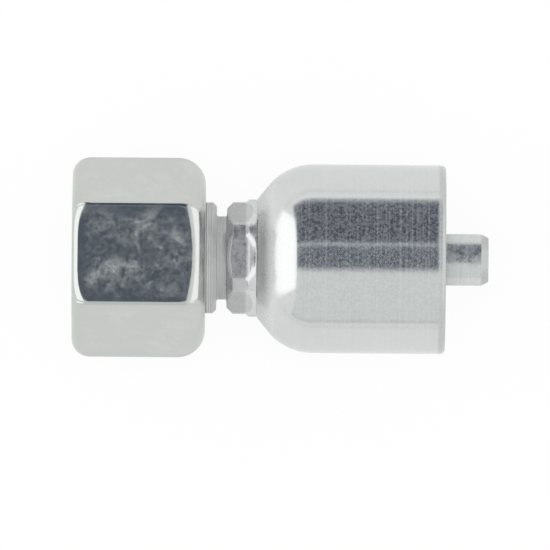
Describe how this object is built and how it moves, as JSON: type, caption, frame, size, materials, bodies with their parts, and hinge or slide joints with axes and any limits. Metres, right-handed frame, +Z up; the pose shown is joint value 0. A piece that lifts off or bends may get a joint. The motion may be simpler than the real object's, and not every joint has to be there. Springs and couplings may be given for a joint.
{
  "type": "crimp hose fitting",
  "caption": "Steel crimp fitting for a small hydraulic hose, with a swivel nut on a flat-faced nipple and a round-shouldered crimp shell over the barbed hose tail.",
  "frame": {"origin": "centre of the nipple's flat sealing face, inside the swivel nut, on the fitting's axis", "axes": "+X along the fitting's axis towards the tip of the hose tail, +Z up, +Y to one side; the fitting lies on its side"},
  "size_m": [0.0525, 0.0252, 0.0238],
  "materials": {
    "zinc_nipple": "bright zinc plating over turned steel",
    "zinc_shell": "bright zinc plating over fine turning marks",
    "zinc_nut": "bright zinc plating, with scuffed flats"
  },
  "bodies": {
    "hose_end": {"nipple": "zinc_nipple", "crimp_shell": "zinc_shell"},
    "nut": {"swivel_nut": "zinc_nut"}
  },
  "joints": [
    {"name": "nut_swivel", "type": "hinge", "parent": "hose_end", "child": "nut", "pos_m": [0, 0, 0], "axis": [1, 0, 0], "continuous": true}
  ]
}
